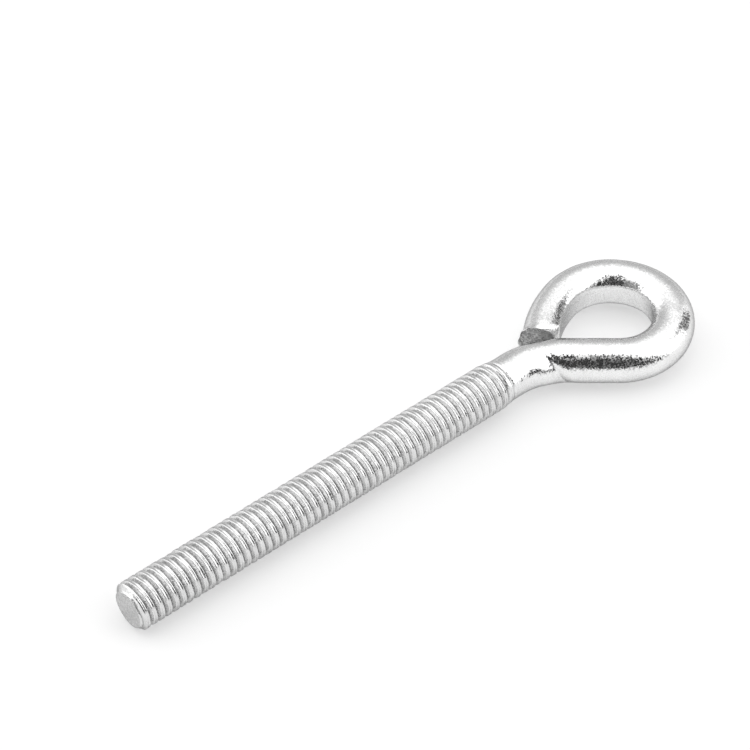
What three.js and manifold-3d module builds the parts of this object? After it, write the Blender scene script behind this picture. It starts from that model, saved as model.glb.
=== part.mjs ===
// Bent-wire eye bolt: one steel rod, thread-rolled along its shank and bent at the far end
// into a closed eye whose sheared end comes back to rest beside the neck.
// Units are millimetres. The bolt lies flat: +X runs along the shank from the threaded tip to
// the eye, +Z is up, and the origin is the centre of the flat tip face, on the thread's axis.

import * as THREE from 'three';
import { mergeVertices } from 'three/addons/utils/BufferGeometryUtils.js';
import Module from 'manifold-3d';

const wasm = await Module();
wasm.setup();

// ---- Driving dimensions ---------------------------------------------------------------------

const ROD_RADIUS = 2.65;         // plain rod, which is also the thread's pitch radius
const CREST_RADIUS = 2.93;       // over the rolled crests of an M6 thread
const ROOT_RADIUS = 2.43;        // at the bottom of the grooves
const PITCH = 1.0;
const CREST_WIDTH = 0.36;        // flat left on each crest, which the grooves' flanks slope to
const TIP_RADIUS = 2.46;         // flat disc left inside the tip's chamfer
const THREAD_LENGTH = 54.8;      // tip face to the end of the run-out
const RUN_OUT = 1.3;             // length over which the thread sinks into the plain rod
const SHANK_LENGTH = 56;         // tip face to the start of the neck bend

const NECK = { radius: 9.9, turn: -40.3 };        // swings the rod off to one side of the shank
const SIDE = { length: 6.2 };                     // straight side of the eye
const FRONT_BEND = { radius: 6.7, turn: 146.2 };  // round the front of the eye
const BACK_BEND = { radius: 7.55, turn: 90.8 };   // along the far side
const CLOSING_BEND = { radius: 14, turn: 31.7 };  // back to the neck
const CUT_SLOPE = -27;           // heading of the sheared end face, which lies along the neck
const CUT_LEAD = 4;              // length over which the rod's sections lean round to the cut

const SIDES = 16;                // facets round the rod and the thread
const ROD_STEP = 1.0;            // length of one facet along the plain rod
const SPARE = 2;                 // length of thread made beyond the tip face and trimmed off

const ZINC_PLATE = { color: 0xd4d5d6, roughness: 0.24, metalness: 1 };

const { degToRad, clamp, smoothstep } = THREE.MathUtils;

// ---- Centre line of the bent rod ------------------------------------------------------------

// Straight stretches and flat arcs, each leaving in the direction in which the last arrived.
const STRETCHES = [{ length: SHANK_LENGTH }, NECK, SIDE, FRONT_BEND, BACK_BEND, CLOSING_BEND];

function lengthOf(stretch) {
  return stretch.length ?? stretch.radius * Math.abs(degToRad(stretch.turn));
}

const ROD_LENGTH = STRETCHES.reduce((sum, stretch) => sum + lengthOf(stretch), 0);

// Position and heading on the centre line, at a distance from the tip face.
function centreLine(distance) {
  const place = new THREE.Vector3(Math.min(distance, 0), 0, 0);
  let heading = 0;
  let left = distance;
  for (const stretch of STRETCHES) {
    const step = clamp(left, 0, lengthOf(stretch));
    const turn = stretch.radius ? Math.sign(stretch.turn) * step / stretch.radius : 0;
    const chord = turn ? 2 * stretch.radius * Math.sin(Math.abs(turn) / 2) : step;
    place.x += chord * Math.cos(heading + turn / 2);
    place.y += chord * Math.sin(heading + turn / 2);
    heading += turn;
    left -= step;
  }
  return { place, heading };
}

// ---- Straight rod with its rolled thread ----------------------------------------------------

// Turns a profile of [radius, x] corners about the X axis. The geometry keeps one column of
// vertices for each side, in the profile's order, and repeats the first column at the end.
function turned(profile, sides) {
  const corners = profile.map(([radius, x]) => new THREE.Vector2(radius, x));
  return new THREE.LatheGeometry(corners, sides).rotateZ(-Math.PI / 2);
}

// Full thread along the shank, and none past the run-out or at the very start.
function threadFullness(x) {
  const runIn = smoothstep(x, -SPARE, 1 - SPARE);
  return runIn * (1 - smoothstep(x, THREAD_LENGTH - RUN_OUT, THREAD_LENGTH));
}

// Three rows of corners for each pitch: the groove's bottom and the two edges of the crest.
function threadRows() {
  const rows = [];
  const edge = (PITCH - CREST_WIDTH) / 2;
  for (let x = -SPARE - PITCH; x < THREAD_LENGTH; x += PITCH) {
    rows.push([ROOT_RADIUS, x], [CREST_RADIUS, x + edge], [CREST_RADIUS, x + PITCH - edge]);
  }
  return rows;
}

function plainRows() {
  const rows = [];
  const count = Math.ceil((ROD_LENGTH - THREAD_LENGTH) / ROD_STEP);
  for (let i = 0; i <= count; i++) {
    rows.push([ROD_RADIUS, THREE.MathUtils.lerp(THREAD_LENGTH, ROD_LENGTH, i / count)]);
  }
  return rows;
}

// The thread's rows are turned as rings and then slid along the rod by one pitch a turn, which
// makes them a right-hand helix. Rows that slide past an end of the thread gather there, where
// all of them have the plain rod's radius, so that the body stays closed.
function straightRod() {
  const thread = threadRows();
  const profile = [[0, -SPARE], ...thread, ...plainRows(), [0, ROD_LENGTH]];
  const geometry = turned(profile, SIDES);
  const { position } = geometry.attributes;
  for (let n = 0; n < position.count; n++) {
    const row = n % profile.length;
    if (row < 1 || row > thread.length) continue;
    const turn = Math.floor(n / profile.length) / SIDES;
    const x = clamp(profile[row][1] + PITCH * turn, -SPARE, THREAD_LENGTH);
    const radius = THREE.MathUtils.lerp(ROD_RADIUS, profile[row][0], threadFullness(x));
    const scale = radius / profile[row][0];
    position.setXYZ(n, x, position.getY(n) * scale, position.getZ(n) * scale);
  }
  return geometry;
}

// What is cut away at the tip: the thread past the tip face, and a 45 degree chamfer.
function tipTrim() {
  const reach = SPARE + 1;
  const slab = new THREE.BoxGeometry(reach, 4 * CREST_RADIUS, 4 * CREST_RADIUS);
  slab.translate(-reach / 2, 0, 0);
  const bevel = turned([
    [TIP_RADIUS - 1, -1],
    [TIP_RADIUS + 1, -1],
    [TIP_RADIUS + 1, 1],
    [TIP_RADIUS - 1, -1],
  ], 2 * SIDES);
  return solid(slab).add(solid(bevel));
}

// ---- Bending --------------------------------------------------------------------------------

// Carries every point of the straight rod to its place on the bent one. Sections stand square
// across the rod, and lean round near its end until the end face lies along the neck.
function bend(geometry) {
  const { position } = geometry.attributes;
  const endLean = degToRad(270 + CUT_SLOPE) - centreLine(ROD_LENGTH).heading;
  for (let n = 0; n < position.count; n++) {
    const distance = position.getX(n);
    const side = position.getY(n);
    const { place, heading } = centreLine(distance);
    const lean = endLean * smoothstep(distance, ROD_LENGTH - CUT_LEAD, ROD_LENGTH);
    const forward = -side * Math.tan(lean);
    position.setX(n, place.x + forward * Math.cos(heading) - side * Math.sin(heading));
    position.setY(n, place.y + forward * Math.sin(heading) + side * Math.cos(heading));
  }
  return geometry;
}

// ---- Solids ---------------------------------------------------------------------------------

// A closed three.js geometry as a solid that can be joined and cut.
function solid(geometry) {
  const bare = geometry.clone();
  bare.deleteAttribute('normal');
  bare.deleteAttribute('uv');
  const merged = mergeVertices(bare, 1e-5);
  const corners = Array.from(merged.index.array);
  const triVerts = [];
  for (let i = 0; i < corners.length; i += 3) {
    const [a, b, c] = corners.slice(i, i + 3);
    if (a !== b && b !== c && c !== a) triVerts.push(a, b, c);
  }
  return new wasm.Manifold(new wasm.Mesh({
    numProp: 3,
    vertProperties: new Float32Array(merged.attributes.position.array),
    triVerts: new Uint32Array(triVerts),
  }));
}

function geometryOf(body) {
  const mesh = body.getMesh();
  const geometry = new THREE.BufferGeometry();
  geometry.setAttribute('position', new THREE.BufferAttribute(mesh.vertProperties, 3));
  geometry.setIndex(new THREE.BufferAttribute(mesh.triVerts, 1));
  return geometry;
}

// ---- Assembly -------------------------------------------------------------------------------

function eyeBolt() {
  const rod = solid(straightRod()).subtract(tipTrim());
  const geometry = bend(geometryOf(rod));
  const bolt = new THREE.Mesh(geometry, new THREE.MeshStandardMaterial(ZINC_PLATE));
  bolt.name = 'eye_bolt';
  return bolt;
}

const model = new THREE.Group();
model.add(eyeBolt());

export default model;
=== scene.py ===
"""Bent-rod eye bolt in bright zinc plate, lying on a pale studio floor.

The rod is made as a maker would make it: its thread is rolled, its end is carried round into
the eye, then the tools' marks are pressed in and the plating is put on.
"""

import math

import bmesh
import bpy
from bpy.props import FloatProperty, FloatVectorProperty, IntProperty, PointerProperty
from mathutils import Matrix, Vector, noise


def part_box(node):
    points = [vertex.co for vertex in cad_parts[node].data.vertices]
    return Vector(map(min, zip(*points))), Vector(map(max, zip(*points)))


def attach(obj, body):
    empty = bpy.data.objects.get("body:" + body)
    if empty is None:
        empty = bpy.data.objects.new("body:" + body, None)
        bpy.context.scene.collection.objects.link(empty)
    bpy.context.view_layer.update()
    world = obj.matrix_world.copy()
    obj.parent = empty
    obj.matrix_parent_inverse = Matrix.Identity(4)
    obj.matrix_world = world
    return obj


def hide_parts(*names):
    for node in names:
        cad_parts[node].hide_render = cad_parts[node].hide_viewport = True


bl_info = {
    "name": "Zinc Eye Bolt",
    "version": (1, 0, 0),
    "blender": (4, 5, 0),
    "location": "3D Viewport > Sidebar > Eye Bolt",
    "description": "Builds a bent-rod eye bolt, its zinc plating and a small studio",
    "category": "Add Mesh",
}

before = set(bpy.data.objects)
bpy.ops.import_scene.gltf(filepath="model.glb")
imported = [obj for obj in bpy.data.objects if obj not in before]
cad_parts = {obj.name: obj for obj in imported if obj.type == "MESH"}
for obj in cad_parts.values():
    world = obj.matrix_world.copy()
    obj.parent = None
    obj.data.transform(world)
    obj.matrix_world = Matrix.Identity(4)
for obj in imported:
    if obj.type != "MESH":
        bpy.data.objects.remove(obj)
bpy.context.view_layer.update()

MM = 0.001
BOLT_NODE = "eye_bolt"
LOW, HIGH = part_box(BOLT_NODE)
MERGE_DISTANCE = 0.004 * MM


# ---- Settings ---------------------------------------------------------------------------------


def length(name, description, millimetres):
    """A distance property whose default is given in millimetres."""
    return FloatProperty(
        name=name,
        description=description,
        default=millimetres * MM,
        unit="LENGTH",
        subtype="DISTANCE",
        precision=5,
    )


def angle(name, description, degrees):
    """An angle property whose default is given in degrees."""
    return FloatProperty(
        name=name,
        description=description,
        default=math.radians(degrees),
        subtype="ANGLE",
        unit="ROTATION",
    )


def share(name, description, default):
    """A plain factor from nothing to one."""
    return FloatProperty(
        name=name,
        description=description,
        default=default,
        min=0,
        max=1,
        subtype="FACTOR",
    )


def grey(name, description, level):
    """A colour property whose default is a plain grey."""
    return FloatVectorProperty(
        name=name,
        description=description,
        default=(level, level, level),
        size=3,
        subtype="COLOR",
        min=0,
        max=1,
    )


def strength(name, description, default):
    """A brightness that is never negative."""
    return FloatProperty(name=name, description=description, default=default, min=0)


class RodSettings(bpy.types.PropertyGroup):
    """Sizes of the rod, its thread and its bends"""

    rod_radius: length("Rod radius", "Radius of the plain rod", 2.65)
    crest_radius: length("Crest radius", "Radius over the thread's crests", HIGH.z / MM)
    groove_radius: length("Groove radius", "Radius at the bottom of the grooves", 2.42)
    pitch: length("Pitch", "Distance from one crest to the next", 1.0)
    thread_length: length("Thread length", "Tip face to the end of the run-out", 54.8)
    run_out: length("Run-out", "Length over which the thread fades into the rod", 2.6)
    tip_radius: length("Tip radius", "Flat disc inside the tip's chamfer", 2.38)
    tip_step: length("Tip step", "Height of the disc's own steep edge", 0.2)
    tip_slant: length("Tip slant", "Extra chamfer on the far side of the tip", 0.22)
    shank_length: length("Shank length", "Tip face to the start of the neck bend", 56)
    neck_radius: length("Neck bend radius", "Centre-line radius of the neck bend", 9.9)
    neck_turn: angle("Neck turn", "How far the neck swings off the shank", 40.3)
    side_length: length("Side length", "Straight side of the eye", 6.2)
    front_radius: length("Front radius", "Bend round the front of the eye", 6.7)
    front_turn: angle("Front turn", "Turn round the front of the eye", 146.2)
    back_radius: length("Back radius", "Bend along the far side of the eye", 7.55)
    back_turn: angle("Back turn", "Turn along the far side of the eye", 90.8)
    closing_radius: length("Closing radius", "Last bend back to the neck", 14)
    closing_turn: angle("Closing turn", "Turn of the last bend", 31.7)
    cut_slope: angle("Cut slope", "Heading of the sheared end face", -27)
    sides: IntProperty(name="Sides", description="Facets round the rod", default=60)


class ToolMarkSettings(bpy.types.PropertyGroup):
    """Marks that rolling, bending and shearing leave on the rod"""

    crest_share: share("Crest share", "Share of the pitch that the flat crests take", 0.46)
    seam_depth: length("Seam depth", "Depth of the fold that rolling leaves on a crest", 0.045)
    wear: length("Wear", "How much the crests differ in height", 0.05)
    mandrel_flat: length("Mandrel flat", "Depth pressed into the eye's inner wall", 0.36)
    dent_depth: length("Dent depth", "Depth of the die's dent inside the neck bend", 0.36)
    dent_before: length("Dent before", "Reach of the dent towards the tip", 2.2)
    dent_after: length("Dent after", "Reach of the dent towards the eye", 1.7)
    nick_depth: length("Nick depth", "Depth of the two short nicks over the dent", 0.13)
    nick_width: length("Nick width", "Half the width of the two short nicks", 0.2)
    roll_over: share("Roll-over", "Share of the radius that the shear pulled in", 0.36)
    burr: length("Burr", "How far the shear's burr stands out", 0.5)
    rim_draw: length("Rim draw", "How far the shear drew the cut's rim back", 0.24)
    squeeze: length("Squeeze", "How much flatter the closing bend is on its outside", 0.36)
    face_lean: angle("Face lean", "Slope of the outer half of the sheared face", 6)
    torn_height: length("Torn height", "Height of the torn face's unevenness", 0.07)
    waviness: length("Waviness", "Height of the bent rod's slow unevenness", 0.02)


class PlatingSettings(bpy.types.PropertyGroup):
    """Look of the bright zinc plating"""

    tint: grey("Tint", "Colour of the zinc on the burnished rod", 0.87)
    thread_tint: grey("Thread tint", "Colour of the zinc on the rolled thread", 0.76)
    # Painted shade darkens the grooves' bottoms to this colour; on the sheared face it is the
    # torn steel's own colour.
    dull_and_shade_tint: grey("Dull tint", "Colour of the zinc in grooves and on torn steel", 0.55)
    edge_tint: grey("Edge tint", "Colour of the zinc at a glancing angle", 0.4)
    shine_roughness: share("Shine roughness", "Roughness of the burnished rod", 0.13)
    thread_roughness: share("Thread roughness", "Roughness of the rolled thread", 0.13)
    dull_roughness: share("Dull roughness", "Roughness of grooves and cut faces", 0.5)
    tip_dullness: share("Tip dullness", "How dull the disc at the tip is", 0.02)
    cut_dullness: share("Cut dullness", "How dull the sheared face is", 0.95)
    grain_size: length("Grain size", "Size of the zinc's crystals", 0.15)
    grain_tilt: angle("Grain tilt", "How far the crystals lean off the surface", 4)
    peel_size: length("Peel size", "Size of the plating's slow unevenness", 0.9)
    peel_height: length("Peel height", "Height of the plating's slow unevenness", 0.015)


class StudioSettings(bpy.types.PropertyGroup):
    """Floor, light and camera"""

    floor_color: grey("Floor", "Colour of the floor", 0.58)
    floor_glow: strength("Floor glow", "Light that the floor gives by itself", 0.42)
    dome_strength: strength("Dome", "Brightness of the white dome", 1.6)
    wall_strength: strength("Back wall", "Brightness of the wall behind the bolt", 0.61)
    screen_strength: strength("Screen", "Brightness of the grey screen at the far right", 0.12)
    shade_strength: strength("Shade", "Brightness of the dim side, left of the camera", 0.28)
    dark_strength: strength("Dark side", "Brightness of the unlit room by the camera", 0.04)
    camera_heading: angle("Camera heading", "Turn of the camera about Z", -38.9)
    camera_height: angle("Camera elevation", "Height of the camera over the floor", 45.37)
    camera_roll: angle("Camera roll", "Tilt of the frame", -0.92)
    camera_distance: length("Camera distance", "From the camera to its target", 371.9)
    target_x: length("Target X", "Where the camera points, along the shank", 43.69)
    target_y: length("Target Y", "Where the camera points, across the shank", 10.32)
    lens: FloatProperty(
        name="Lens",
        description="Focal length in millimetres",
        default=152.0,
        unit="CAMERA",
        subtype="DISTANCE_CAMERA",
    )


# ---- Centre line ------------------------------------------------------------------------------


def stretches(rod):
    """(length, turn) of each stretch of the centre line, from the tip to the cut end."""
    return [
        (rod.shank_length, 0),
        (rod.neck_radius * rod.neck_turn, -rod.neck_turn),
        (rod.side_length, 0),
        (rod.front_radius * rod.front_turn, rod.front_turn),
        (rod.back_radius * rod.back_turn, rod.back_turn),
        (rod.closing_radius * rod.closing_turn, rod.closing_turn),
    ]


def rod_length(rod):
    """Length of the whole centre line."""
    return sum(run for run, turn in stretches(rod))


NO_SWING = 1e-9


def centre_line(rod, distance):
    """Place and heading on the centre line, at a distance from the tip."""
    place = Vector((min(distance, 0), 0, 0))
    heading = 0
    left = distance
    for run, turn in stretches(rod):
        step = min(max(left, 0), run)
        swing = turn * step / run
        chord = step if abs(swing) < NO_SWING else step * math.sin(swing / 2) / (swing / 2)
        bearing = heading + swing / 2
        place += chord * Vector((math.cos(bearing), math.sin(bearing), 0))
        heading += swing
        left -= step
    return place, heading


def smooth(value, start, end):
    """Runs from 0 at start to 1 at end, flat at both."""
    t = min(max((value - start) / (end - start), 0), 1)
    return t * t * (3 - 2 * t)


def bump_at(value, centre, width):
    """A smooth hump of height 1 at centre that has died away at width to either side."""
    return 1 - smooth(abs(value - centre), 0, width)


# ---- Rolling the thread -----------------------------------------------------------------------


# Corners of the thread's outline, in sixtieths of the pitch from groove to groove. They close up
# at the edges of the crest, and at the seam in its middle.
OUTLINE_CORNERS = (0, 2, 6, 10, 14, 16, 18, 27, 30, 33, 42, 44, 46, 50, 54, 58, 60)
SEAM_SHARE = 0.02


def outline_steps(rod):
    """The outline's corners as steps of the helix, so that each turn meets the next one."""
    return sorted({round(corner * rod.sides / OUTLINE_CORNERS[-1]) for corner in OUTLINE_CORNERS})


def thread_radius(rod, marks, phase):
    """Radius at a phase of the pitch, with the groove at 0 and the crest at a half."""
    away = abs(2 * phase - 1)
    sunk = max(0, (away - marks.crest_share) / (1 - marks.crest_share))
    seam = marks.seam_depth if away < SEAM_SHARE else 0
    return rod.crest_radius - seam - sunk * (rod.crest_radius - rod.groove_radius)


def thread_start(rod):
    """Two turns before the tip face, so that the tip is cut from a full thread."""
    return -2 * rod.pitch


def thread_end(rod):
    """First place past the run-out where a ring of corners lies square to the shank."""
    step = rod.pitch / rod.sides
    steps = math.ceil((rod.thread_length - thread_start(rod)) / step)
    return thread_start(rod) + steps * step


def roll_thread(bm, rod, marks):
    """Sweeps one pitch of the thread's outline round and along the shank."""
    corners = []
    for step in outline_steps(rod):
        phase = step / rod.sides
        x = thread_start(rod) + rod.pitch * phase
        corners.append(bm.verts.new((x, 0, thread_radius(rod, marks, phase))))
    outline = [bm.edges.new(pair) for pair in zip(corners, corners[1:])]
    bmesh.ops.spin(
        bm,
        geom=corners + outline,
        cent=(0, 0, 0),
        axis=(1, 0, 0),
        dvec=(rod.pitch / rod.sides, 0, 0),
        angle=2 * math.pi,
        steps=rod.sides,
    )
    turns = 1
    while thread_start(rod) + (turns - 1) * rod.pitch < thread_end(rod):
        copies = bmesh.ops.duplicate(bm, geom=bm.verts[:] + bm.edges[:] + bm.faces[:])["geom"]
        verts = [item for item in copies if isinstance(item, bmesh.types.BMVert)]
        bmesh.ops.translate(bm, verts=verts, vec=(turns * rod.pitch, 0, 0))
        turns *= 2
    bmesh.ops.remove_doubles(bm, verts=bm.verts, dist=MERGE_DISTANCE)


def trim_thread(bm, rod):
    """Cuts the swept thread square at the tip face and past the run-out."""
    for place, inner in ((0, True), (thread_end(rod), False)):
        bmesh.ops.bisect_plane(
            bm,
            geom=bm.verts[:] + bm.edges[:] + bm.faces[:],
            dist=MERGE_DISTANCE / 2,
            plane_co=(place, 0, 0),
            plane_no=(1, 0, 0),
            clear_inner=inner,
            clear_outer=not inner,
        )


# Gain in radius for each step along the shank, on the disc's edge and on the chamfer.
STEP_SLOPE = 0.45
CHAMFER_SLOPE = 1.5
WEAR_SPACING = 1.3 * MM
WEAR_GAIN = 4
DEEPEST_WEAR = 0.12 * MM
# Share of the groove's depth past which the plating turns rougher and its colour is painted
# darker, as painted shade in the groove's bottom.
DULL_AND_SHADE_DEPTH = 0.7


def tip_outline(rod, x, y):
    """Largest radius near the tip: the disc's steep edge and then the chamfer."""
    step = min(x, rod.tip_step)
    slant = rod.tip_slant * smooth(y, -rod.rod_radius, rod.rod_radius)
    return rod.tip_radius - slant + STEP_SLOPE * step + CHAMFER_SLOPE * (x - step)


def finish_thread(bm, rod, marks):
    """Wears the crests, fades the thread into the plain rod and chamfers the tip."""
    dull = bm.verts.layers.float.new("dull")
    for vert in bm.verts:
        x, y, z = vert.co
        radius = math.hypot(y, z)
        depth = (rod.crest_radius - radius) / (rod.crest_radius - rod.groove_radius)
        patchy = WEAR_GAIN * noise.noise(vert.co / WEAR_SPACING) ** 2
        worn = min(marks.wear * (1 - depth) * patchy, DEEPEST_WEAR)
        fullness = 1 - smooth(x, rod.thread_length - rod.run_out, rod.thread_length)
        wanted = rod.rod_radius + fullness * (radius - worn - rod.rod_radius)
        wanted = min(wanted, tip_outline(rod, x, y))
        vert.co.y *= wanted / radius
        vert.co.z *= wanted / radius
        # In the grooves' bottoms this mask also paints shade: their colour turns darker as well
        # as rougher.
        vert[dull] = smooth(depth, DULL_AND_SHADE_DEPTH, 1) * fullness


# ---- Drawing the rod round the eye ------------------------------------------------------------


def ring_at(bm, place):
    """The open edges of the mesh that lie in the plane across X at place."""
    return [
        edge
        for edge in bm.edges
        if edge.is_boundary
        and all(abs(vert.co.x - place) < MERGE_DISTANCE for vert in edge.verts)
    ]


FINE_SPACING = 0.08 * MM
PLAIN_SPACING = 0.35 * MM
# From and to, past the end of the shank.
DENTED_STRETCH = (1 * MM, 8 * MM)
# Measured back from the cut end.
SHEARED_STRETCH = 2.2 * MM


def ring_places(rod):
    """Distances along the rod at which its rings stand, closer where the tools left marks."""
    total = rod_length(rod)
    places = []
    place = thread_end(rod)
    while place < total:
        dented = DENTED_STRETCH[0] < place - rod.shank_length < DENTED_STRETCH[1]
        sheared = place > total - SHEARED_STRETCH
        place = min(place + (FINE_SPACING if dented or sheared else PLAIN_SPACING), total)
        places.append(place)
    return places


def draw_rod(bm, rod):
    """Extrudes the last ring of the thread along the centre line to the cut end."""
    along = bm.verts.layers.float.new("along")
    around = bm.verts.layers.float.new("around")
    for vert in bm.verts:
        vert[along] = vert.co.x
        vert[around] = math.atan2(-vert.co.y, vert.co.z)
    edges = ring_at(bm, thread_end(rod))
    last_place, last_heading = centre_line(rod, thread_end(rod))
    for distance in ring_places(rod):
        place, heading = centre_line(rod, distance)
        step = bmesh.ops.extrude_edge_only(bm, edges=edges)["geom"]
        verts = [item for item in step if isinstance(item, bmesh.types.BMVert)]
        edges = [
            item
            for item in step
            if isinstance(item, bmesh.types.BMEdge) and item.is_boundary
        ]
        turn = Matrix.Rotation(heading - last_heading, 3, "Z")
        bmesh.ops.rotate(bm, verts=verts, cent=last_place, matrix=turn)
        bmesh.ops.translate(bm, verts=verts, vec=place - last_place)
        for vert in verts:
            vert[along] = distance
        last_place, last_heading = place, heading
    return edges


# Width of each ring of the rim, and its share of the way that the rim slopes back.
RIM_RINGS = ((0.1 * MM, 1), (0.02 * MM, 0.2))
# Widths of the rings inside the rim, from the outside in.
TIP_RINGS = [0.03 * MM] + [0.3 * MM] * 6
CUT_RINGS = [0.05 * MM] + [0.3 * MM] * 7


def close_end(bm, edges, back, rings, dullness):
    """Fills a ring of edges, slopes its rim back and insets rings into the face."""
    dull = bm.verts.layers.float["dull"]
    face = bmesh.ops.contextual_create(bm, geom=edges)["faces"][0]
    for thickness, slope in RIM_RINGS:
        rim = list(face.verts)
        bmesh.ops.inset_region(bm, faces=[face], thickness=thickness, use_even_offset=True)
        bmesh.ops.translate(bm, verts=rim, vec=slope * back)
    for thickness in rings:
        bmesh.ops.inset_region(bm, faces=[face], thickness=thickness, use_even_offset=True)
        for vert in face.verts:
            vert[dull] = dullness


def close_tip(bm, plating):
    """Closes the tip with its flat disc."""
    flat = Vector((0, 0, 0))
    close_end(bm, ring_at(bm, 0), flat, TIP_RINGS, plating.tip_dullness)


def close_cut(bm, edges, rod, marks, plating):
    """Closes the sheared end with a rim that the shear drew back."""
    heading = centre_line(rod, rod_length(rod))[1]
    backwards = -marks.rim_draw * Vector((math.cos(heading), math.sin(heading), 0))
    close_end(bm, edges, backwards, CUT_RINGS, plating.cut_dullness)


# ---- Marks of the tools -----------------------------------------------------------------------


# The marks start this far before the end of the shank.
MARKED_SHANK = 1.5 * MM
WAVE_SPACING = 1.6 * MM
LEAN_STRETCH = 4 * MM
OUTER_HALF = (-0.8 * MM, 1.2 * MM)


def press_marks(bm, rod, marks):
    """Presses the mandrel's flat, the die's dent and the shear's lean into the bent rod."""
    along = bm.verts.layers.float["along"]
    around = bm.verts.layers.float["around"]
    total = rod_length(rod)
    cut_lean = math.radians(270) + rod.cut_slope - centre_line(rod, total)[1]
    for vert in bm.verts:
        distance = vert[along]
        if distance < rod.shank_length - MARKED_SHANK:
            continue
        place, heading = centre_line(rod, distance)
        forward = Vector((math.cos(heading), math.sin(heading), 0))
        inward = Vector((-forward.y, forward.x, 0))
        degrees = math.degrees(vert[around])
        offset = vert.co - place
        outward = offset.normalized()
        slow = marks.waviness * noise.noise(vert.co / WAVE_SPACING)
        offset += (slow - dent(rod, marks, distance, degrees)) * outward
        offset *= sheared_width(rod, marks, distance, degrees)
        side = offset.dot(inward)
        flat = flattened(rod, marks, distance, side)
        offset += (flat - side) * inward
        ending = smooth(distance, total - LEAN_STRETCH, total)
        lean = cut_lean - smooth(-flat, *OUTER_HALF) * (cut_lean + marks.face_lean)
        vert.co = place + offset - flat * math.tan(lean) * ending * forward


# Distances past the shank over which the mandrel and the last bend take full effect.
MANDREL_STRETCH = (11 * MM, 15 * MM)
CLOSING_STRETCH = (35 * MM, 45 * MM)
CLOSING_FLAT = 0.15 * MM
FLAT_ROUNDNESS = 0.06


def flattened(rod, marks, distance, side):
    """The eye's inner wall is flat from the mandrel, and its closing bend is squeezed."""
    past_shank = distance - rod.shank_length
    full = smooth(past_shank, *MANDREL_STRETCH)
    closing = smooth(past_shank, *CLOSING_STRETCH)
    if side < 0:
        return side * (1 - marks.squeeze * closing / rod.rod_radius)
    limit = rod.rod_radius - (marks.mandrel_flat + CLOSING_FLAT * closing) * full
    return side if side < limit else limit + FLAT_ROUNDNESS * (side - limit)


# A die's line runs round the neck. It starts at a distance past the shank, in millimetres, at
# 19 degrees off the top, and moves on by so many millimetres for each further degree. Its mark
# fades in and out again between two pairs of degrees.
LINES_START = 19
DENT_LINE = (3.9, 0.028)
DENT_FADES = ((22, 62), (105, 150))
NICKS = (((3.62, 0.043), ((14, 22), (36, 50))), ((4.42, 0.042), ((16, 24), (42, 56))))
# The bulge that the dent pushed up on its tip side.
BULGE_SHARE = 0.35
BULGE_PLACE = -2.6 * MM
BULGE_WIDTH = 2.2 * MM


def past_line(rod, line, distance, degrees):
    """How far past one of the die's lines a place on the neck is."""
    start, advance = line
    return distance - rod.shank_length - (start + advance * (degrees - LINES_START)) * MM


def faded(degrees, fades):
    """1 between a mark's two ends round the rod, fading out past them."""
    fade_in, fade_out = fades
    return smooth(degrees, *fade_in) * (1 - smooth(degrees, *fade_out))


def dent(rod, marks, distance, degrees):
    """Depth of the dent and the nicks that the bending die left on the inside of the neck."""
    away = past_line(rod, DENT_LINE, distance, degrees)
    reach = marks.dent_after if away > 0 else marks.dent_before
    slope = max(0, 1 - abs(away) / reach) ** 2
    bulge = BULGE_SHARE * bump_at(away, BULGE_PLACE, BULGE_WIDTH)
    depth = marks.dent_depth * faded(degrees, DENT_FADES) * (slope - bulge)
    for line, fades in NICKS:
        away = abs(past_line(rod, line, distance, degrees))
        sharp = max(0, 1 - away / marks.nick_width)
        depth += marks.nick_depth * sharp * faded(degrees, fades)
    return depth


# Reach of each mark back from the cut, and the degrees off the top that it faces.
ROLLED_STRETCH = 1.5 * MM
ROLLED_TOWARDS = -68
BURR_STRETCH = 0.9 * MM
BURR_TOWARDS = 80
BURR_SHARPNESS = 1.5
RAGGED_SHARE = 0.6
RAGGED_DEGREES = 17
RAGGED_SPACING = 0.5 * MM


def facing(degrees, towards):
    """1 on the side of the rod that faces towards, and 0 from a quarter turn away."""
    return max(0, math.cos(math.radians(degrees - towards)))


def sheared_width(rod, marks, distance, degrees):
    """Scale of the rod's section near the shear: rolled over inside, burred outside."""
    left = rod_length(rod) - distance
    near = max(0, 1 - left / ROLLED_STRETCH)
    rolled = marks.roll_over * facing(degrees, ROLLED_TOWARDS) * (1 - math.sqrt(1 - near * near))
    spot = Vector((degrees / RAGGED_DEGREES, left / RAGGED_SPACING, 0))
    ragged = 1 + RAGGED_SHARE * noise.noise(spot)
    burr = marks.burr * max(0, 1 - left / BURR_STRETCH) ** BURR_SHARPNESS * ragged
    return 1 - rolled + facing(degrees, BURR_TOWARDS) ** BURR_SHARPNESS * burr / rod.rod_radius


TEAR_SPACING = 0.9 * MM
TEAR_FADE = 0.6
TEAR_FINENESS = 2.2
TEAR_LAYERS = 4


def roughen_cut(bm, rod, marks):
    """Tears the sheared face a little, so that it isn't a plain flat."""
    dull = bm.verts.layers.float["dull"]
    normal = Vector((math.sin(rod.cut_slope), -math.cos(rod.cut_slope), 0))
    for vert in bm.verts:
        if vert[dull] > 0 and vert.co.x > rod.shank_length:
            spot = vert.co / TEAR_SPACING
            uneven = noise.fractal(spot, TEAR_FADE, TEAR_FINENESS, TEAR_LAYERS)
            vert.co += marks.torn_height * uneven * normal


# ---- Plating ----------------------------------------------------------------------------------


def node(tree, kind, inputs=(), **settings):
    """Adds a node, sets its own settings and the sockets named in inputs."""
    made = tree.nodes.new(kind)
    for name, value in settings.items():
        setattr(made, name, value)
    for socket, value in dict(inputs).items():
        if isinstance(value, bpy.types.NodeSocket):
            tree.links.new(value, made.inputs[socket])
        else:
            made.inputs[socket].default_value = value
    return made


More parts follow.
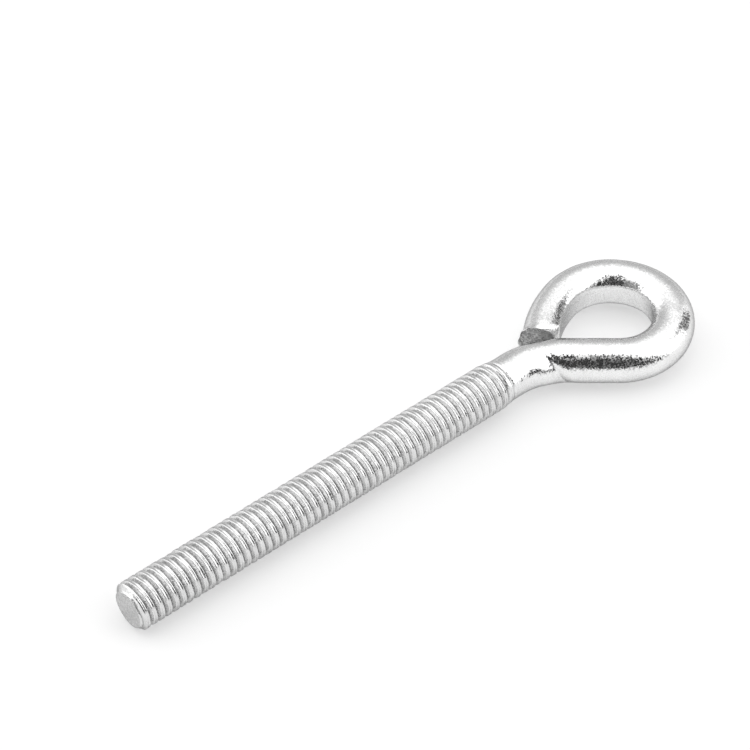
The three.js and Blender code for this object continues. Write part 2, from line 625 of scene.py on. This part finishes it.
def remap(tree, value, low, high, to_low, to_high):
    """Maps value from low to high onto to_low to to_high, held at the ends."""
    made = node(
        tree,
        "ShaderNodeMapRange",
        {
            "Value": value,
            "From Min": low,
            "From Max": high,
            "To Min": to_low,
            "To Max": to_high,
        },
    )
    return made.outputs["Result"]


# The Mix node's first and second input and its output, for each kind of value.
MIX_SOCKETS = {"FLOAT": (2, 3, 0), "RGBA": (6, 7, 2)}


def blend(tree, factor, first, second, kind="FLOAT"):
    """Mixes two numbers or two colours."""
    first_input, second_input, output = MIX_SOCKETS[kind]
    values = {0: factor, first_input: first, second_input: second}
    return node(tree, "ShaderNodeMix", values, data_type=kind).outputs[output]


def multiply(tree, a, b):
    """The product of two values."""
    made = node(tree, "ShaderNodeMath", {0: a, 1: b}, operation="MULTIPLY")
    return made.outputs["Value"]


TINT_FADE = 2 * MM
STAIN_SPREAD = 0.3
STAIN_DETAIL = 5.0
STAIN_RANGE = (0.42, 0.66)
STAIN_VALUE = 0.92
# A crystal's roughness as a multiple of its surroundings', from the smoothest to the roughest.
GRAIN_ROUGHNESS = (0.4, 2.9)
PEEL_DETAIL = 2.0
CRYSTAL_MIDDLE = (0.5, 0.5, 0.5)
TORN_GRAIN_GAIN = 3


def zinc_plating(rod, plating):
    """Bright zinc: burnished metal whose crystals sparkle where the light turns over."""
    material = bpy.data.materials.new("bright_zinc_plating")
    material.use_nodes = True
    tree = material.node_tree
    tree.nodes.clear()
    place = node(tree, "ShaderNodeTexCoord").outputs["Object"]
    dull = node(tree, "ShaderNodeAttribute", attribute_name="dull").outputs["Fac"]
    along = node(tree, "ShaderNodeAttribute", attribute_name="along").outputs["Fac"]
    threaded = remap(tree, along, rod.thread_length - TINT_FADE, rod.thread_length, 1.0, 0.0)
    crystals = node(
        tree, "ShaderNodeTexVoronoi", {"Vector": place, "Scale": 1 / plating.grain_size}
    ).outputs["Color"]
    surface = node(
        tree,
        "ShaderNodeBsdfPrincipled",
        {
            "Base Color": zinc_color(tree, plating, place, dull, threaded),
            "Metallic": 1.0,
            "Roughness": zinc_roughness(tree, plating, crystals, dull, threaded),
            "Specular Tint": (*plating.edge_tint, 1),
            "Normal": zinc_normal(tree, plating, place, crystals, dull),
        },
    )
    node(tree, "ShaderNodeOutputMaterial", {"Surface": surface.outputs["BSDF"]})
    return material


def zinc_color(tree, plating, place, dull, threaded):
    """Faint clouds on the bright metal, with painted shade darkening the grooves' bottoms and the
    torn steel's own duller colour on the cut.
    """
    cloud = node(
        tree,
        "ShaderNodeTexNoise",
        {"Vector": place, "Scale": STAIN_SPREAD / plating.peel_size, "Detail": STAIN_DETAIL},
    ).outputs["Fac"]
    metal = blend(tree, threaded, (*plating.tint, 1), (*plating.thread_tint, 1), "RGBA")
    clean = node(
        tree,
        "ShaderNodeHueSaturation",
        {"Color": metal, "Value": remap(tree, cloud, *STAIN_RANGE, 1.0, STAIN_VALUE)},
    ).outputs["Color"]
    # Where the mask lies in a groove's bottom this darker colour is painted shade; on the sheared
    # face it is the torn steel's own colour.
    return blend(tree, dull, clean, (*plating.dull_and_shade_tint, 1), "RGBA")


def zinc_roughness(tree, plating, crystals, dull, threaded):
    """Roughness of the finish, with each crystal smoother or rougher than the next one."""
    grain = node(tree, "ShaderNodeSeparateColor", {"Color": crystals}).outputs["Red"]
    shine = blend(tree, threaded, plating.shine_roughness, plating.thread_roughness)
    rough = blend(tree, dull, shine, plating.dull_roughness)
    return multiply(tree, rough, remap(tree, grain, 0.0, 1.0, *GRAIN_ROUGHNESS))


def zinc_normal(tree, plating, place, crystals, dull):
    """The plating's slow unevenness, with each crystal leaning its own way."""
    peel = node(
        tree,
        "ShaderNodeTexNoise",
        {"Vector": place, "Scale": 1 / plating.peel_size, "Detail": PEEL_DETAIL},
    ).outputs["Fac"]
    slow = node(tree, "ShaderNodeBump", {"Height": peel, "Distance": plating.peel_height})
    lean = 2 * math.tan(plating.grain_tilt)
    tilt = node(
        tree,
        "ShaderNodeVectorMath",
        {0: crystals, 1: CRYSTAL_MIDDLE},
        operation="SUBTRACT",
    ).outputs["Vector"]
    leaning = node(
        tree,
        "ShaderNodeVectorMath",
        {0: tilt, "Scale": blend(tree, dull, lean, TORN_GRAIN_GAIN * lean)},
        operation="SCALE",
    ).outputs["Vector"]
    normal = node(
        tree,
        "ShaderNodeVectorMath",
        {0: slow.outputs["Normal"], 1: leaning},
        operation="ADD",
    ).outputs["Vector"]
    return node(
        tree, "ShaderNodeVectorMath", {0: normal}, operation="NORMALIZE"
    ).outputs["Vector"]


# ---- Studio -----------------------------------------------------------------------------------


FLOOR_HALF_WIDTH = 3


def pale_floor(studio):
    """A plain pale floor that the bolt lies on."""
    mesh = bpy.data.meshes.new("floor")
    bm = bmesh.new()
    bmesh.ops.create_grid(bm, x_segments=1, y_segments=1, size=FLOOR_HALF_WIDTH)
    bmesh.ops.translate(bm, verts=bm.verts, vec=(HIGH.x / 2, 0, LOW.z))
    bm.to_mesh(mesh)
    bm.free()
    floor = bpy.data.objects.new("floor", mesh)
    bpy.context.scene.collection.objects.link(floor)
    material = bpy.data.materials.new("pale_floor")
    material.use_nodes = True
    surface = material.node_tree.nodes["Principled BSDF"]
    surface.inputs["Base Color"].default_value = (*studio.floor_color, 1)
    surface.inputs["Roughness"].default_value = 1.0
    surface.inputs["Specular IOR Level"].default_value = 0.0
    surface.inputs["Emission Color"].default_value = (1, 1, 1, 1)
    surface.inputs["Emission Strength"].default_value = studio.floor_glow
    mesh.materials.append(material)


def step_up(tree, value, start, end):
    """Runs smoothly from 0 at start to 1 at end, or from 1 to 0 where end is the lower one."""
    falls = end < start
    made = node(
        tree,
        "ShaderNodeMapRange",
        {
            "Value": value,
            "From Min": min(start, end),
            "From Max": max(start, end),
            "To Min": float(falls),
            "To Max": float(not falls),
        },
        interpolation_type="SMOOTHSTEP",
    )
    return made.outputs["Result"]


def window(tree, value, start, end, soft_start, soft_end):
    """1 where value lies between start and end, with soft edges outside them."""
    rise = step_up(tree, value, start - soft_start, start)
    return multiply(tree, rise, step_up(tree, value, end + soft_end, end))


def degrees_of(tree, value):
    """An angle in radians, in degrees."""
    made = node(tree, "ShaderNodeMath", {0: value}, operation="DEGREES")
    return made.outputs["Value"]


# Parts of the room: start and end in degrees, then how softly each one fades. Bearings run from
# the camera's side round to the right, and heights up from the floor's level. The back wall's
# bearings count the same to the left.
BACK_WALL = {"bearing": (146, 200, 20, 1), "height": (-60, 24, 5, 44)}
SCREEN = {"bearing": (108, 127, 4, 5), "height": (-8, 36, 5, 10)}
SHADE = {"bearing": (-62, 4, 10, 6), "height": (14, 46, 10, 16)}
DARK_LEFT_EDGE = (-36, -26)
DARK_HEIGHT = (1, 70, 3, 4)
# The right edge moves round by this many degrees for each degree of height.
DARK_SLANT = 0.7
DARK_SLANTED_EDGE = (74, 62)


def room_part(tree, bearing, height, part):
    """1 inside a part of the room, with soft edges."""
    across = window(tree, bearing, *part["bearing"])
    return multiply(tree, across, window(tree, height, *part["height"]))


def dark_side(tree, bearing, height):
    """1 in the unlit room by the camera, whose right edge leans over."""
    slanted = node(
        tree,
        "ShaderNodeMath",
        {0: height, 1: DARK_SLANT, 2: bearing},
        operation="MULTIPLY_ADD",
    ).outputs["Value"]
    left_edge = step_up(tree, bearing, *DARK_LEFT_EDGE)
    across = multiply(tree, left_edge, step_up(tree, slanted, *DARK_SLANTED_EDGE))
    return multiply(tree, across, window(tree, height, *DARK_HEIGHT))


def soft_light(studio):
    """A white dome with a greyer wall behind the bolt and the unlit room before it."""
    world = bpy.data.worlds.new("studio")
    bpy.context.scene.world = world
    world.use_nodes = True
    tree = world.node_tree
    tree.nodes.clear()
    direction = node(tree, "ShaderNodeTexCoord").outputs["Generated"]
    room_heading = math.radians(-90) + studio.camera_heading
    turned = node(
        tree,
        "ShaderNodeVectorRotate",
        {"Vector": direction, "Angle": -room_heading},
        rotation_type="Z_AXIS",
    )
    parts = node(tree, "ShaderNodeSeparateXYZ", {"Vector": turned.outputs["Vector"]}).outputs
    round_z = node(tree, "ShaderNodeMath", {0: parts["Y"], 1: parts["X"]}, operation="ARCTAN2")
    over_floor = node(tree, "ShaderNodeMath", {0: parts["Z"]}, operation="ARCSINE")
    bearing = degrees_of(tree, round_z.outputs["Value"])
    height = degrees_of(tree, over_floor.outputs["Value"])
    either_way = node(tree, "ShaderNodeMath", {0: bearing}, operation="ABSOLUTE").outputs["Value"]
    wall = room_part(tree, either_way, height, BACK_WALL)
    lit = blend(tree, wall, studio.dome_strength, studio.wall_strength)
    screen = room_part(tree, bearing, height, SCREEN)
    lit = blend(tree, screen, lit, studio.screen_strength)
    shade = room_part(tree, bearing, height, SHADE)
    lit = blend(tree, shade, lit, studio.shade_strength)
    shaded = blend(tree, dark_side(tree, bearing, height), lit, studio.dark_strength)
    camera_ray = node(tree, "ShaderNodeLightPath").outputs["Is Camera Ray"]
    seen = blend(tree, camera_ray, shaded, 1.0)
    sky = node(tree, "ShaderNodeBackground", {"Color": (1, 1, 1, 1), "Strength": seen})
    node(tree, "ShaderNodeOutputWorld", {"Surface": sky.outputs["Background"]})


CLIP_START = 10 * MM


def studio_camera(studio):
    """The camera looks down over the tip, along the shank, at the eye."""
    heading, height, roll = studio.camera_heading, studio.camera_height, studio.camera_roll
    back = Vector(
        (
            math.sin(heading) * math.cos(height),
            -math.cos(heading) * math.cos(height),
            math.sin(height),
        )
    )
    level = Vector((math.cos(heading), math.sin(heading), 0))
    up = back.cross(level)
    right = math.cos(roll) * level + math.sin(roll) * up
    top = back.cross(right)
    target = Vector((studio.target_x, studio.target_y, 0))
    data = bpy.data.cameras.new("studio_camera")
    data.lens = studio.lens
    data.clip_start = CLIP_START
    camera = bpy.data.objects.new("studio_camera", data)
    turn = Matrix((right, top, back)).transposed().to_4x4()
    camera.matrix_world = Matrix.Translation(target + studio.camera_distance * back) @ turn
    bpy.context.scene.collection.objects.link(camera)
    bpy.context.scene.camera = camera


# ---- Operators --------------------------------------------------------------------------------


class EYEBOLT_OT_add_bolt(bpy.types.Operator):
    """Roll, bend, mark and plate the eye bolt"""

    bl_idname = "eyebolt.add_bolt"
    bl_label = "Add Eye Bolt"
    bl_options = {"REGISTER", "UNDO"}

    def execute(self, context):
        rod = context.scene.eye_bolt_rod
        marks = context.scene.eye_bolt_marks
        plating = context.scene.eye_bolt_plating
        mesh = bpy.data.meshes.new("zinc_eye_bolt")
        bm = bmesh.new()
        roll_thread(bm, rod, marks)
        trim_thread(bm, rod)
        finish_thread(bm, rod, marks)
        cut_edges = draw_rod(bm, rod)
        close_tip(bm, plating)
        close_cut(bm, cut_edges, rod, marks, plating)
        press_marks(bm, rod, marks)
        roughen_cut(bm, rod, marks)
        bmesh.ops.recalc_face_normals(bm, faces=bm.faces)
        for face in bm.faces:
            face.smooth = True
        bm.to_mesh(mesh)
        bm.free()
        mesh.materials.append(zinc_plating(rod, plating))
        bolt = bpy.data.objects.new("zinc_eye_bolt", mesh)
        context.scene.collection.objects.link(bolt)
        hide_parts(BOLT_NODE)
        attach(bolt, "root")
        return {"FINISHED"}


class EYEBOLT_OT_add_studio(bpy.types.Operator):
    """Lay the floor, light the bolt and set up the camera"""

    bl_idname = "eyebolt.add_studio"
    bl_label = "Add Studio"
    bl_options = {"REGISTER", "UNDO"}

    def execute(self, context):
        studio = context.scene.eye_bolt_studio
        pale_floor(studio)
        soft_light(studio)
        studio_camera(studio)
        context.scene.view_settings.view_transform = "Standard"
        return {"FINISHED"}


class EYEBOLT_PT_panel(bpy.types.Panel):
    """Sidebar panel with the eye bolt's operators, and the settings that they read"""

    bl_idname = "EYEBOLT_PT_panel"
    bl_label = "Eye Bolt"
    bl_space_type = "VIEW_3D"
    bl_region_type = "UI"
    bl_category = "Eye Bolt"

    def draw(self, context):
        layout = self.layout
        for operator in OPERATORS:
            layout.operator(operator.bl_idname)
        for name, settings in SETTINGS.items():
            box = layout.box()
            box.label(text=settings.__doc__)
            for field in settings.__annotations__:
                box.prop(getattr(context.scene, name), field)


OPERATORS = (EYEBOLT_OT_add_bolt, EYEBOLT_OT_add_studio)
SETTINGS = {
    "eye_bolt_rod": RodSettings,
    "eye_bolt_marks": ToolMarkSettings,
    "eye_bolt_plating": PlatingSettings,
    "eye_bolt_studio": StudioSettings,
}
CLASSES = (*SETTINGS.values(), *OPERATORS, EYEBOLT_PT_panel)


def register():
    for cls in CLASSES:
        bpy.utils.register_class(cls)
    for name, settings in SETTINGS.items():
        setattr(bpy.types.Scene, name, PointerProperty(type=settings))


def unregister():
    for name in SETTINGS:
        delattr(bpy.types.Scene, name)
    for cls in reversed(CLASSES):
        bpy.utils.unregister_class(cls)


def main():
    register()
    bpy.ops.eyebolt.add_bolt()
    bpy.ops.eyebolt.add_studio()


if __name__ == "__main__":
    main()
